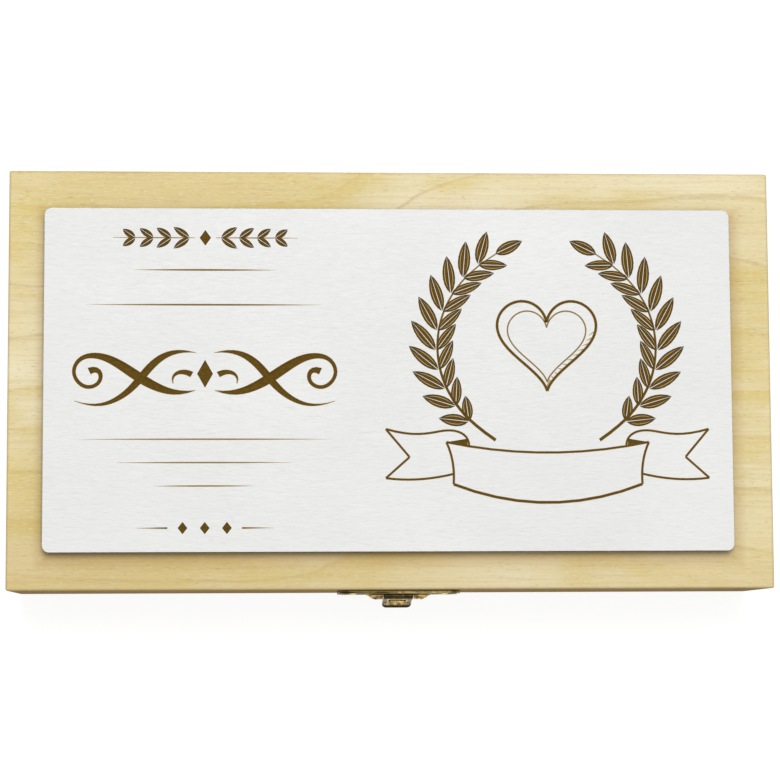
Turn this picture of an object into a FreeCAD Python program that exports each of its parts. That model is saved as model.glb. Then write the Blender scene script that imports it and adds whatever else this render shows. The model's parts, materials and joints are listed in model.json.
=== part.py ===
"""Hinged wooden gift box for banknotes, with a glued plaque and a swinging clasp.

Millimetres. The origin is the centre of the underside, Z is up, X runs along the
length, and the clasp is on the front, towards -Y.
"""

import FreeCAD, Part
import math
import os
import Sketcher
from FreeCAD import Placement, Rotation, Vector

SIZES = [
    # Wooden box: two trays of finger jointed walls, sawn apart at the seam
    ("box_length", 175.0, "outer length, left to right"),
    ("box_depth", 96.0, "outer depth, front to back"),
    ("wall_thick", 7.5, "solid wood walls"),
    ("base_wall_height", 20.0, "walls of the base, without the bottom"),
    ("lid_wall_height", 10.0, "walls of the lid, without the top"),
    ("bottom_thick", 3.0, "plywood bottom"),
    ("top_thick", 3.0, "plywood top"),
    ("edge_round", 0.5, "sanded outer edges"),
    ("seam_chamfer", 0.35, "sanded edges on both sides of the seam"),
    # Plaque glued on the lid, a little off centre
    ("plaque_end_margin", 8.95, "bare lid left and right of a centred plaque"),
    ("plaque_side_margin", 8.75, "bare lid in front of and behind a centred plaque"),
    ("plaque_thick", 3.0, "painted board"),
    ("plaque_corner", 1.6, "corner radius"),
    ("plaque_left", 0.65, "shift to the left of the lid's centre"),
    ("plaque_forward", 0.3, "shift to the front of the lid's centre"),
    # Round head nails, alike in the hinges and the clasp
    ("nail_shank", 1.2, "shank diameter"),
    ("nail_point", 1.5, "length of the point"),
    ("nail_head", 2.6, "head diameter"),
    ("nail_head_height", 0.5, "height of the domed head"),
    ("nail_gap", 0.05, "room around a shank in its hole"),
    ("nail_cover", 2.0, "wood left behind a nail's point"),
    # Brass hardware in general
    ("sheet_thick", 0.45, "sheet of the leaves, plates and tongue"),
    ("pin_gap", 0.03, "room around a pin in its knuckle"),
    ("pin_head_height", 0.35, "peened end of a pin"),
    ("pin_head_rim", 0.25, "how far a peened end stands out past the pin"),
    ("knuckle_gap", 0.2, "room between neighbouring knuckles"),
    ("stand_off", 0.2, "room between a turning knuckle and the wood"),
    ("leaf_clear", 0.3, "room between a plate's edge and the knuckle beside it"),
    # Hinges on the back
    ("hinge_inset", 35.5, "from an end of the box to the middle of a hinge"),
    ("hinge_length", 20.0, "length along the pin"),
    ("hinge_leaf_height", 8.5, "from the axis to a leaf's far edge"),
    ("hinge_leaf_corner", 1.0, "corner radius of a leaf"),
    ("hinge_knuckle", 5.0, "length of an outer knuckle"),
    ("hinge_pin", 0.8, "pin diameter"),
    ("hinge_nail_inset", 4.0, "from an end of a leaf to its nail"),
    ("hinge_nail_margin", 3.3, "from a leaf's far edge to its nails"),
    # Clasp on the front
    ("clasp_right", 1.8, "shift to the right of the box's middle"),
    ("clasp_width", 28.0, "width of both plates"),
    ("clasp_plate_height", 6.0, "height of both plates"),
    ("clasp_axis_rise", 2.0, "from the seam up to the clasp's axis"),
    ("clasp_pin", 0.9, "pin diameter"),
    ("clasp_knuckle", 2.6, "length of a knuckle of the upper plate"),
    ("clasp_nail_inset", 3.5, "from an end of a plate to its nail"),
    ("catch_drop", 0.4, "from the seam down to the lower plate"),
    ("tongue_width", 6.8, "width of the tongue"),
    ("tongue_corner", 1.0, "rounded corners of the lip"),
    ("lip_radius", 1.6, "inside radius of the turned-out lip"),
    ("lip_turn", 55.0, "degrees that the lip is turned out"),
    ("window_width", 4.0, "opening in the tongue"),
    ("window_height", 2.6, "opening in the tongue"),
    ("window_drop", 3.6, "from the axis down to the opening"),
    ("window_bar", 1.3, "strip between the opening and the lip"),
    ("nose_gap", 0.4, "room around the nose in the opening"),
    ("nose_proud", 0.3, "how far the nose stands out past the closed tongue"),
    ("nose_round", 0.4, "rounded end of the nose"),
    ("tongue_swing", 12.0, "degrees that the tongue hangs clear of the nose"),
]

BASE_FINGERS = 4
LID_FINGERS = 2
TOLERANCE = 1e-4

FRONT, RIGHT, BACK, LEFT = 0.0, 90.0, 180.0, 270.0


class Size:
    """A length: its value now, and the expression that keeps it bound to the sheet."""

    def __init__(self, value, formula):
        self.value = value
        self.formula = formula

    def joined(self, sign, other, value):
        return Size(value, f"({self.formula} {sign} {other.formula})")

    def __add__(self, other):
        other = as_size(other)
        return self.joined("+", other, self.value + other.value)

    def __sub__(self, other):
        other = as_size(other)
        return self.joined("-", other, self.value - other.value)

    def __mul__(self, other):
        other = as_size(other)
        return self.joined("*", other, self.value * other.value)

    def __truediv__(self, other):
        other = as_size(other)
        return self.joined("/", other, self.value / other.value)

    def __neg__(self):
        return as_size(0) - self

    def sine(self):
        return Size(math.sin(math.radians(self.value)), f"sin({self.formula})")

    def cosine(self):
        return Size(math.cos(math.radians(self.value)), f"cos({self.formula})")


def as_size(number):
    return number if isinstance(number, Size) else Size(float(number), str(float(number)))


doc = FreeCAD.newDocument("money_gift_box")


def fill_sheet():
    """Write the driving dimensions to the sheet and hand them back by name."""
    sheet = doc.addObject("Spreadsheet::Sheet", "Dimensions")
    sizes = {}
    for row, (alias, value, note) in enumerate(SIZES, start=1):
        sheet.set(f"A{row}", alias.replace("_", " "))
        sheet.set(f"B{row}", str(value))
        sheet.setAlias(f"B{row}", alias)
        sheet.set(f"C{row}", note)
        sizes[alias] = Size(value, f"Dimensions.{alias}")
    doc.recompute()
    return sizes


size = fill_sheet()

# Places worked out from the driving dimensions
HALF_LENGTH = size["box_length"] / 2
HALF_DEPTH = size["box_depth"] / 2
SEAM = size["bottom_thick"] + size["base_wall_height"]
LID_TOP = SEAM + size["lid_wall_height"] + size["top_thick"]
SHEET = size["sheet_thick"]

HINGE_BORE = size["hinge_pin"] / 2 + size["pin_gap"]
HINGE_KNUCKLE_RADIUS = HINGE_BORE + SHEET
HINGE_AXIS_OUT = HINGE_KNUCKLE_RADIUS + size["stand_off"]

CLASP_BORE = size["clasp_pin"] / 2 + size["pin_gap"]
CLASP_KNUCKLE_RADIUS = CLASP_BORE + SHEET
CLASP_AXIS_OUT = CLASP_KNUCKLE_RADIUS + size["stand_off"]
CLASP_AXIS_HEIGHT = SEAM + size["clasp_axis_rise"]
HASP_LOW = CLASP_KNUCKLE_RADIUS + size["leaf_clear"]
HASP_MIDDLE = HASP_LOW + size["clasp_plate_height"] / 2
TONGUE_REACH = size["window_drop"] + size["window_height"] + size["window_bar"]
CATCH_MIDDLE = -(size["clasp_axis_rise"] + size["catch_drop"] + size["clasp_plate_height"] / 2)

NAIL_HOLE = size["nail_shank"] / 2 + size["nail_gap"]
NAIL_DEPTH = size["wall_thick"] - size["nail_cover"]
HINGE_ACROSS = HALF_LENGTH - size["hinge_inset"]
HINGE_NAIL_ACROSS = size["hinge_length"] / 2 - size["hinge_nail_inset"]
HINGE_NAIL_RISE = size["hinge_leaf_height"] - size["hinge_nail_margin"]
HINGE_NAILS_ACROSS = [HINGE_ACROSS * side + HINGE_NAIL_ACROSS * end for side in (-1, 1) for end in (-1, 1)]
CLASP_NAIL_ACROSS = size["clasp_width"] / 2 - size["clasp_nail_inset"]
CLASP_NAILS_ACROSS = [-CLASP_NAIL_ACROSS, CLASP_NAIL_ACROSS]


def bind(thing, path, length):
    thing.setExpression(path, as_size(length).formula)


def place(thing, across, outward, up, axis=(0, 0, 1), turn=0.0):
    """Turn a piece about an axis through its own origin and bind where that origin lies."""
    thing.Placement = Placement(Vector(), Rotation(Vector(*axis), turn))
    for letter, length in zip("xyz", (across, outward, up)):
        bind(thing, f"Placement.Base.{letter}", length)


def new_body(label):
    body = doc.addObject("PartDesign::Body", label)
    body.Label = label
    return body


def new_sketch(body, plane, lift=None):
    """Sketch on one of the body's own planes, lifted along that plane's normal."""
    sketch = body.newObject("Sketcher::SketchObject", f"{body.Label}_sketch")
    support = next(part for part in body.Origin.OriginFeatures if part.Role == plane)
    sketch.AttachmentSupport = [(support, "")]
    sketch.MapMode = "FlatFace"
    if lift is not None:
        bind(sketch, "AttachmentOffset.Base.z", lift)
    return sketch


def pin_across(sketch, geometry, end, across):
    """Bind how far across a sketch one of its points lies."""
    length = as_size(across)
    index = sketch.addConstraint(Sketcher.Constraint("DistanceX", -1, 1, geometry, end, length.value))
    bind(sketch, f"Constraints[{index}]", length)


def pin_up(sketch, geometry, end, up):
    """Bind how far up a sketch one of its points lies."""
    length = as_size(up)
    index = sketch.addConstraint(Sketcher.Constraint("DistanceY", -1, 1, geometry, end, length.value))
    bind(sketch, f"Constraints[{index}]", length)


def pin_point(sketch, geometry, end, across, up):
    pin_across(sketch, geometry, end, across)
    pin_up(sketch, geometry, end, up)


def pin_radius(sketch, geometry, radius):
    index = sketch.addConstraint(Sketcher.Constraint("Radius", geometry, radius.value))
    bind(sketch, f"Constraints[{index}]", radius)


def flat_point(across, up):
    return Vector(as_size(across).value, as_size(up).value, 0)


def polygon(sketch, corners):
    """Closed outline of straight lines through bound corners."""
    first = sketch.GeometryCount
    count = len(corners)
    for here, ahead in zip(corners, corners[1:] + corners[:1]):
        sketch.addGeometry(Part.LineSegment(flat_point(*here), flat_point(*ahead)))
    for number in range(count):
        ahead = first + (number + 1) % count
        sketch.addConstraint(Sketcher.Constraint("Coincident", first + number, 2, ahead, 1))
    for number, corner in enumerate(corners):
        pin_point(sketch, first + number, 1, *corner)


def rectangle(sketch, left, right, low, high):
    polygon(sketch, [(left, low), (right, low), (right, high), (left, high)])


def circle(sketch, across, up, radius):
    ring = Part.Circle(flat_point(across, up), Vector(0, 0, 1), radius.value)
    index = sketch.addGeometry(ring)
    pin_radius(sketch, index, radius)
    pin_point(sketch, index, 3, across, up)


def pad(body, sketch, length, reverse=False, both_ways=False):
    feature = body.newObject("PartDesign::Pad", f"{body.Label}_pad")
    feature.Profile = sketch
    feature.Reversed = reverse
    feature.SideType = "Symmetric" if both_ways else "One side"
    bind(feature, "Length", length)
    doc.recompute()
    return feature


def pocket(body, sketch, depth=None):
    """Cut a sketch to a depth, or right through the piece both ways."""
    before = body.Shape.Volume
    feature = body.newObject("PartDesign::Pocket", f"{body.Label}_pocket")
    feature.Profile = sketch
    if depth is None:
        feature.Type = "ThroughAll"
        feature.SideType = "Symmetric"
    else:
        bind(feature, "Length", depth)
    doc.recompute()
    if body.Shape.Volume >= before - TOLERANCE:
        raise RuntimeError(f"{feature.Name} cuts nothing")
    return feature


def edge_names(feature, wanted):
    """Names of the edges whose end points and middle pass a test."""
    names = []
    for number, edge in enumerate(feature.Shape.Edges, start=1):
        ends = [vertex.Point for vertex in edge.Vertexes]
        middle = edge.valueAt((edge.FirstParameter + edge.LastParameter) / 2)
        if wanted(ends, middle):
            names.append(f"Edge{number}")
    if not names:
        raise RuntimeError(f"{feature.Name} has no such edge")
    return names


def dress_edges(body, kind, wanted, measure, amount):
    """Fillet or chamfer those edges of the body so far that pass a test."""
    base = body.Tip
    names = edge_names(base, wanted)
    feature = body.newObject(f"PartDesign::{kind}", f"{body.Label}_{kind.lower()}")
    feature.Base = (base, names)
    bind(feature, measure, amount)
    doc.recompute()
    return feature


def round_edges(body, wanted, radius):
    return dress_edges(body, "Fillet", wanted, "Radius", radius)


def chamfer_edges(body, wanted, width):
    return dress_edges(body, "Chamfer", wanted, "Size", width)


def near(one, other):
    return abs(one - other) < TOLERANCE


def all_near(ends, letter, wanted):
    return all(near(getattr(end, letter), wanted) for end in ends)


def upright(ends):
    return len(ends) == 2 and near(ends[0].x, ends[1].x) and near(ends[0].y, ends[1].y)


def finger_outline(span, height, fingers, first_is_notch):
    """Face of a wall whose ends step in and out in equal fingers."""
    step = height / fingers
    right_edge = []
    for slot in range(fingers):
        notched = (slot % 2 == 0) == first_is_notch
        reach = span / 2 - size["wall_thick"] if notched else span / 2
        right_edge.append((reach, step * slot))
        right_edge.append((reach, step * (slot + 1)))
    left_edge = [(-reach, up) for reach, up in reversed(right_edge)]
    return right_edge + left_edge


def wall(label, facing, span, height, low, fingers, first_is_notch, seam_above, nail_holes=()):
    """One wall: X along it, Y inwards from its outer face, Z up from its lower edge."""
    body = new_body(label)
    sketch = new_sketch(body, "XZ_Plane")
    polygon(sketch, finger_outline(span, height, fingers, first_is_notch))
    pad(body, sketch, size["wall_thick"], reverse=True)

    half = span.value / 2
    round_edges(
        body,
        lambda ends, middle: upright(ends) and near(abs(middle.x), half) and near(middle.y, 0),
        size["edge_round"],
    )
    seam = height.value if seam_above else 0.0
    rim = size["edge_round"].value
    chamfer_edges(
        body,
        lambda ends, middle: all_near(ends, "z", seam) and (middle.y < rim or half - abs(middle.x) < rim),
        size["seam_chamfer"],
    )
    if nail_holes:
        holes = new_sketch(body, "XZ_Plane")
        for across, up in nail_holes:
            circle(holes, across, up, NAIL_HOLE)
        pocket(body, holes, NAIL_DEPTH + size["nail_gap"])

    across = {RIGHT: HALF_LENGTH, LEFT: -HALF_LENGTH}.get(facing, 0)
    outward = {FRONT: -HALF_DEPTH, BACK: HALF_DEPTH}.get(facing, 0)
    place(body, across, outward, low, turn=facing)
    return body


def base_walls():
    """Walls of the base, with fingers that start at the bottom of the long walls."""
    length, depth, height = size["box_length"], size["box_depth"], size["base_wall_height"]
    low = size["bottom_thick"]
    catch_height = CLASP_AXIS_HEIGHT + CATCH_MIDDLE - low
    catch_holes = [(size["clasp_right"] + across, catch_height) for across in CLASP_NAILS_ACROSS]
    hinge_height = SEAM - HINGE_NAIL_RISE - low
    hinge_holes = [(across, hinge_height) for across in HINGE_NAILS_ACROSS]
    return [
        wall("base_front_wall", FRONT, length, height, low, BASE_FINGERS, False, True, catch_holes),
        wall("base_back_wall", BACK, length, height, low, BASE_FINGERS, False, True, hinge_holes),
        wall("base_left_wall", LEFT, depth, height, low, BASE_FINGERS, True, True),
        wall("base_right_wall", RIGHT, depth, height, low, BASE_FINGERS, True, True),
    ]


def lid_walls():
    """Walls of the lid, whose fingers go on from those of the base."""
    length, depth, height = size["box_length"], size["box_depth"], size["lid_wall_height"]
    hasp_height = size["clasp_axis_rise"] + HASP_MIDDLE
    hasp_holes = [(size["clasp_right"] + across, hasp_height) for across in CLASP_NAILS_ACROSS]
    hinge_holes = [(across, HINGE_NAIL_RISE) for across in HINGE_NAILS_ACROSS]
    return [
        wall("lid_front_wall", FRONT, length, height, SEAM, LID_FINGERS, False, False, hasp_holes),
        wall("lid_back_wall", BACK, length, height, SEAM, LID_FINGERS, False, False, hinge_holes),
        wall("lid_left_wall", LEFT, depth, height, SEAM, LID_FINGERS, True, False),
        wall("lid_right_wall", RIGHT, depth, height, SEAM, LID_FINGERS, True, False),
    ]


def panel(label, thick, low, outer_face_up):
    """Plywood sheet over or under the walls, flush with their outer faces."""
    body = new_body(label)
    sketch = new_sketch(body, "XY_Plane")
    rectangle(sketch, -HALF_LENGTH, HALF_LENGTH, -HALF_DEPTH, HALF_DEPTH)
    pad(body, sketch, thick)
    round_edges(body, lambda ends, middle: upright(ends), size["edge_round"])
    outer = thick.value if outer_face_up else 0.0
    round_edges(body, lambda ends, middle: all_near(ends, "z", outer), size["edge_round"])
    place(body, 0, 0, low)
    return body


def plaque():
    """Board with rounded corners, glued on the lid."""
    body = new_body("plaque")
    sketch = new_sketch(body, "XY_Plane")
    half_length = HALF_LENGTH - size["plaque_end_margin"]
    half_width = HALF_DEPTH - size["plaque_side_margin"]
    rectangle(sketch, -half_length, half_length, -half_width, half_width)
    pad(body, sketch, size["plaque_thick"])
    round_edges(body, lambda ends, middle: upright(ends), size["plaque_corner"])
    place(body, -size["plaque_left"], -size["plaque_forward"], LID_TOP)
    return body


def sheet_pad(body, sketch_outline, axis_out):
    """Flat sheet lying on the wood, which is axis_out behind the body's own X axis."""
    sketch = new_sketch(body, "XZ_Plane", lift=axis_out)
    sketch_outline(sketch)
    return pad(body, sketch, SHEET, reverse=True)


def knuckles(body, spans, outer_radius, bore):
    """Rolled knuckles about the body's own X axis, bored for the pin."""
    for start, end in spans:
        rolled = new_sketch(body, "YZ_Plane", lift=start)
        circle(rolled, 0, 0, outer_radius)
        pad(body, rolled, end - start)
    hole = new_sketch(body, "YZ_Plane")
    circle(hole, 0, 0, bore)
    pocket(body, hole)


def nail_holes_through(body, places):
    sketch = new_sketch(body, "XZ_Plane")
    for across, up in places:
        circle(sketch, across, up, NAIL_HOLE)
    pocket(body, sketch)


def hinge_leaf(label, side, on_lid):
    """Leaf rising from the hinge axis; the base's leaf is the same way up, turned over."""
    body = new_body(label)
    half = size["hinge_length"] / 2
    top = size["hinge_leaf_height"]
    edge = HINGE_KNUCKLE_RADIUS + size["leaf_clear"]
    if on_lid:
        inner = half - size["hinge_knuckle"] - size["knuckle_gap"]
        spans = [(-inner, inner)]
        right_edge = [(inner, 0), (inner, edge), (half, edge), (half, top)]
    else:
        inner = half - size["hinge_knuckle"]
        spans = [(-half, -inner), (inner, half)]
        right_edge = [(inner, edge), (inner, 0), (half, 0), (half, top)]
    outline = right_edge + [(-across, up) for across, up in reversed(right_edge)]
    sheet_pad(body, lambda sketch: polygon(sketch, outline), HINGE_AXIS_OUT)
    round_edges(
        body,
        lambda ends, middle: all_near(ends, "z", top.value) and near(abs(middle.x), half.value),
        size["hinge_leaf_corner"],
    )
    knuckles(body, spans, HINGE_KNUCKLE_RADIUS, HINGE_BORE)
    nail_holes_through(body, [(HINGE_NAIL_ACROSS * end, HINGE_NAIL_RISE) for end in (-1, 1)])
    turn = 0.0 if on_lid else 180.0
    place(body, HINGE_ACROSS * side, HALF_DEPTH + HINGE_AXIS_OUT, SEAM, axis=(0, 1, 0), turn=turn)
    return body


def pin(label, diameter, between_heads, across, outward, up):
    """Pin along X with a peened head at each end."""
    body = new_body(label)
    sketch = new_sketch(body, "XZ_Plane")
    half = between_heads / 2
    end = half + size["pin_head_height"]
    radius = diameter / 2
    rim = radius + size["pin_head_rim"]
    right_half = [(half, radius), (half, rim), (end, radius), (end, 0)]
    polygon(sketch, right_half + [(-along, out) for along, out in reversed(right_half)])
    turned = body.newObject("PartDesign::Revolution", f"{label}_turned")
    turned.Profile = sketch
    turned.ReferenceAxis = (sketch, ["H_Axis"])
    turned.Angle = 360
    doc.recompute()
    place(body, across, outward, up)
    return body


def clasp_plate_outline(sketch, middle):
    """Plate with round ends."""
    radius = size["clasp_plate_height"] / 2
    reach = size["clasp_width"] / 2 - radius
    low, high = middle - radius, middle + radius
    sketch.addGeometry(Part.LineSegment(flat_point(-reach, low), flat_point(reach, low)))
    right_circle = Part.Circle(flat_point(reach, middle), Vector(0, 0, 1), radius.value)
    sketch.addGeometry(Part.ArcOfCircle(right_circle, -math.pi / 2, math.pi / 2))
    sketch.addGeometry(Part.LineSegment(flat_point(reach, high), flat_point(-reach, high)))
    left_circle = Part.Circle(flat_point(-reach, middle), Vector(0, 0, 1), radius.value)
    sketch.addGeometry(Part.ArcOfCircle(left_circle, math.pi / 2, 3 * math.pi / 2))
    for number in range(4):
        sketch.addConstraint(Sketcher.Constraint("Tangent", number, 2, (number + 1) % 4, 1))
    pin_radius(sketch, 1, radius)
    pin_radius(sketch, 3, radius)
    pin_point(sketch, 1, 3, reach, middle)
    pin_point(sketch, 3, 3, -reach, middle)


def place_clasp(body, swing=None):
    """Put a clasp piece on the front, with its own Y pointing out of the box."""
    place(body, size["clasp_right"], -(HALF_DEPTH + CLASP_AXIS_OUT), CLASP_AXIS_HEIGHT, turn=BACK)
    if swing is not None:
        bind(body, "Placement.Rotation.Yaw", BACK)
        bind(body, "Placement.Rotation.Pitch", 0)
        bind(body, "Placement.Rotation.Roll", swing)


def hasp_plate():
    """Upper plate, with a knuckle on each side of the tongue."""
    body = new_body("hasp_plate")
    inner = size["tongue_width"] / 2 + size["knuckle_gap"]
    outer = inner + size["clasp_knuckle"]
    sheet_pad(body, lambda sketch: clasp_plate_outline(sketch, HASP_MIDDLE), CLASP_AXIS_OUT)
    spans = [(-outer, -inner), (inner, outer)]
    for start, end in spans:
        sheet_pad(body, lambda sketch: rectangle(sketch, start, end, 0, HASP_MIDDLE), CLASP_AXIS_OUT)
    knuckles(body, spans, CLASP_KNUCKLE_RADIUS, CLASP_BORE)
    nail_holes_through(body, [(across, HASP_MIDDLE) for across in CLASP_NAILS_ACROSS])
    place_clasp(body)
    return body


def catch_plate():
    """Lower plate, with a nose that fills the tongue's window when the clasp is shut."""
    body = new_body("catch_plate")
    sheet_pad(body, lambda sketch: clasp_plate_outline(sketch, CATCH_MIDDLE), CLASP_AXIS_OUT)
    nose = new_sketch(body, "XZ_Plane", lift=CLASP_AXIS_OUT)
    half_width = size["window_width"] / 2 - size["nose_gap"]
    high = -(size["window_drop"] + size["nose_gap"])
    low = -(size["window_drop"] + size["window_height"] - size["nose_gap"])
    rectangle(nose, -half_width, half_width, low, high)
    tip = SHEET / 2 + size["nose_proud"]
    pad(body, nose, CLASP_AXIS_OUT + tip, reverse=True)
    round_edges(
        body,
        lambda ends, middle: all_near(ends, "y", tip.value),
        size["nose_round"],
    )
    nail_holes_through(body, [(across, CATCH_MIDDLE) for across in CLASP_NAILS_ACROSS])
    place_clasp(body)
    return body


def lip_ends():
    """Middle of the lip's bend, and the corners of its end on the back and on the front."""
    inner_radius = size["lip_radius"]
    outer_radius = inner_radius + SHEET
    bend = (SHEET / 2 + inner_radius, -TONGUE_REACH)
    sine, cosine = size["lip_turn"].sine(), size["lip_turn"].cosine()
    back_end = (bend[0] - outer_radius * cosine, bend[1] - outer_radius * sine)
    front_end = (bend[0] - inner_radius * cosine, bend[1] - inner_radius * sine)
    return bend, back_end, front_end


def lip_outline(sketch):
    """Side view of the tongue's strip, which ends in a lip turned outwards along an arc."""
    bend, back_end, front_end = lip_ends()
    half = SHEET / 2
    top = -CLASP_BORE

    start = math.pi
    stop = math.pi + math.radians(size["lip_turn"].value)
    inner_radius = size["lip_radius"].value
    back_circle = Part.Circle(flat_point(*bend), Vector(0, 0, 1), inner_radius + SHEET.value)
    front_circle = Part.Circle(flat_point(*bend), Vector(0, 0, 1), inner_radius)
    back_line, back_arc, end_line, front_arc, front_line, top_line = range(6)
    sketch.addGeometry(Part.LineSegment(flat_point(-half, top), flat_point(-half, bend[1])))
    sketch.addGeometry(Part.ArcOfCircle(back_circle, start, stop))
    sketch.addGeometry(Part.LineSegment(flat_point(*back_end), flat_point(*front_end)))
    sketch.addGeometry(Part.ArcOfCircle(front_circle, start, stop))
    sketch.addGeometry(Part.LineSegment(flat_point(half, bend[1]), flat_point(half, top)))
    sketch.addGeometry(Part.LineSegment(flat_point(half, top), flat_point(-half, top)))
    joints = [
        (back_line, 2, back_arc, 1),
        (back_arc, 2, end_line, 1),
        (end_line, 2, front_arc, 2),
        (front_arc, 1, front_line, 1),
        (front_line, 2, top_line, 1),
        (top_line, 2, back_line, 1),
        (back_arc, 3, front_arc, 3),
    ]
    for joint in joints:
        sketch.addConstraint(Sketcher.Constraint("Coincident", *joint))
    pin_point(sketch, back_line, 1, -half, top)
    pin_point(sketch, back_line, 2, -half, bend[1])
    pin_point(sketch, front_line, 2, half, top)
    pin_point(sketch, front_line, 1, half, bend[1])
    pin_point(sketch, back_arc, 3, *bend)
    pin_up(sketch, end_line, 1, back_end[1])
    pin_up(sketch, end_line, 2, front_end[1])


def clasp_tongue():
    """Strip with a rolled eye about its own X axis; it hangs clear of the nose, ready to lift."""
    body = new_body("clasp_tongue")
    half_width = size["tongue_width"] / 2
    side = new_sketch(body, "YZ_Plane")
    lip_outline(side)
    pad(body, side, size["tongue_width"], both_ways=True)
    bend, back_end, front_end = lip_ends()
    lip_height = (back_end[1] + front_end[1]) / 2
    round_edges(
        body,
        lambda ends, middle: near(abs(middle.x), half_width.value) and near(middle.z, lip_height.value),
        size["tongue_corner"],
    )
    knuckles(body, [(-half_width, half_width)], CLASP_KNUCKLE_RADIUS, CLASP_BORE)
    window = new_sketch(body, "XZ_Plane")
    half_window = size["window_width"] / 2
    high = -size["window_drop"]
    rectangle(window, -half_window, half_window, high - size["window_height"], high)
    pocket(body, window)
    place_clasp(body, swing=size["tongue_swing"])
    return body


def hardware():
    pieces = []
    for side, name in ((-1, "left"), (1, "right")):
        pieces.append(hinge_leaf(f"{name}_hinge_base_leaf", side, on_lid=False))
        pieces.append(hinge_leaf(f"{name}_hinge_lid_leaf", side, on_lid=True))
        between = size["hinge_length"] + size["knuckle_gap"]
        outward = HALF_DEPTH + HINGE_AXIS_OUT
        across = HINGE_ACROSS * side
        pieces.append(pin(f"{name}_hinge_pin", size["hinge_pin"], between, across, outward, SEAM))
    pieces.append(hasp_plate())
    pieces.append(catch_plate())
    between = size["tongue_width"] + (size["knuckle_gap"] + size["clasp_knuckle"]) * 2 + size["knuckle_gap"]
    outward = -(HALF_DEPTH + CLASP_AXIS_OUT)
    pieces.append(pin("hasp_pin", size["clasp_pin"], between, size["clasp_right"], outward, CLASP_AXIS_HEIGHT))
    pieces.append(clasp_tongue())
    return pieces


def nail_pattern():
    """One nail, point down, with the underside of its head at the origin."""
    body = new_body("nail_pattern")
    sketch = new_sketch(body, "XZ_Plane")
    head, shank = size["nail_head"] / 2, size["nail_shank"] / 2
    crown = size["nail_head_height"]
    length = SHEET + NAIL_DEPTH
    shoulder = length - size["nail_point"]
    corners = [(0, crown), (0, -length), (shank, -shoulder), (shank, 0), (head, 0)]
    for here, ahead in zip(corners, corners[1:]):
        sketch.addGeometry(Part.LineSegment(flat_point(*here), flat_point(*ahead)))
    dome_radius = (head.value ** 2 + crown.value ** 2) / (2 * crown.value)
    dome_circle = Part.Circle(Vector(0, crown.value - dome_radius, 0), Vector(0, 0, 1), dome_radius)
    edge_angle = math.atan2(dome_radius - crown.value, head.value)
    dome = sketch.addGeometry(Part.ArcOfCircle(dome_circle, edge_angle, math.pi / 2))
    for number in range(len(corners) - 2):
        sketch.addConstraint(Sketcher.Constraint("Coincident", number, 2, number + 1, 1))
    sketch.addConstraint(Sketcher.Constraint("Coincident", dome - 1, 2, dome, 1))
    sketch.addConstraint(Sketcher.Constraint("Coincident", dome, 2, 0, 1))
    sketch.addConstraint(Sketcher.Constraint("PointOnObject", dome, 3, -2))
    for number, corner in enumerate(corners[:-1]):
        pin_point(sketch, number, 1, *corner)
    pin_point(sketch, dome, 1, *corners[-1])
    turned = body.newObject("PartDesign::Revolution", "nail_turned")
    turned.Profile = sketch
    turned.ReferenceAxis = (sketch, ["V_Axis"])
    turned.Angle = 360
    doc.recompute()
    return body


def nails(label, pattern, places, face, tip_turn):
    """Group of nails driven through a plate, each a solid of its own."""
    group = doc.addObject("Part::Compound", label)
    group.Label = label
    links = []
    for across, up in places:
        link = doc.addObject("App::Link", f"{label}_nail")
        link.LinkedObject = pattern
        link.LinkTransform = True
        place(link, across, face, up, axis=(1, 0, 0), turn=tip_turn)
        links.append(link)
    group.Links = links
    doc.recompute()
    return group


def all_nails():
    pattern = nail_pattern()
    front = -(HALF_DEPTH + SHEET)
    back = HALF_DEPTH + SHEET
    hinge_low = [(across, SEAM - HINGE_NAIL_RISE) for across in HINGE_NAILS_ACROSS]
    hinge_high = [(across, SEAM + HINGE_NAIL_RISE) for across in HINGE_NAILS_ACROSS]
    clasp_across = [size["clasp_right"] + across for across in CLASP_NAILS_ACROSS]
    catch = [(across, CLASP_AXIS_HEIGHT + CATCH_MIDDLE) for across in clasp_across]
    hasp = [(across, CLASP_AXIS_HEIGHT + HASP_MIDDLE) for across in clasp_across]
    return [
        nails("hinge_base_nails", pattern, hinge_low, back, -90.0),
        nails("hinge_lid_nails", pattern, hinge_high, back, -90.0),
        nails("catch_nails", pattern, catch, front, 90.0),
        nails("hasp_nails", pattern, hasp, front, 90.0),
    ]


def check(pieces):
    for thing in doc.Objects:
        if "Invalid" in thing.State or "Error" in thing.State:
            raise RuntimeError(f"{thing.Name} failed: {thing.State}")
    for piece in pieces:
        if piece.Shape.isNull() or not piece.Shape.isValid():
            raise RuntimeError(f"{piece.Label} has no valid shape")


def write(pieces):
    os.makedirs("parts", exist_ok=True)
    for piece in pieces:
        piece.Shape.exportStep(os.path.join("parts", f"{piece.Label}.step"))
        box = piece.Shape.BoundBox
        print(
            f"{piece.Label:24s} solids {len(piece.Shape.Solids)}  volume {piece.Shape.Volume:9.2f}  "
            f"x {box.XMin:8.3f} {box.XMax:8.3f}  y {box.YMin:8.3f} {box.YMax:8.3f}  "
            f"z {box.ZMin:7.3f} {box.ZMax:7.3f}"
        )


def main():
    pieces = base_walls()
    pieces.append(panel("base_bottom_panel", size["bottom_thick"], as_size(0), outer_face_up=False))
    pieces += lid_walls()
    top_low = SEAM + size["lid_wall_height"]
    pieces.append(panel("lid_top_panel", size["top_thick"], top_low, outer_face_up=True))
    pieces.append(plaque())
    pieces += hardware()
    pieces += all_nails()
    doc.recompute()
    check(pieces)
    write(pieces)


main()
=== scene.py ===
"""Looks of the money gift box: wood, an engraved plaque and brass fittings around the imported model.

Metres, in the model's own frame: the clasp is on the front, towards -Y.
"""

import json
import math

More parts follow.
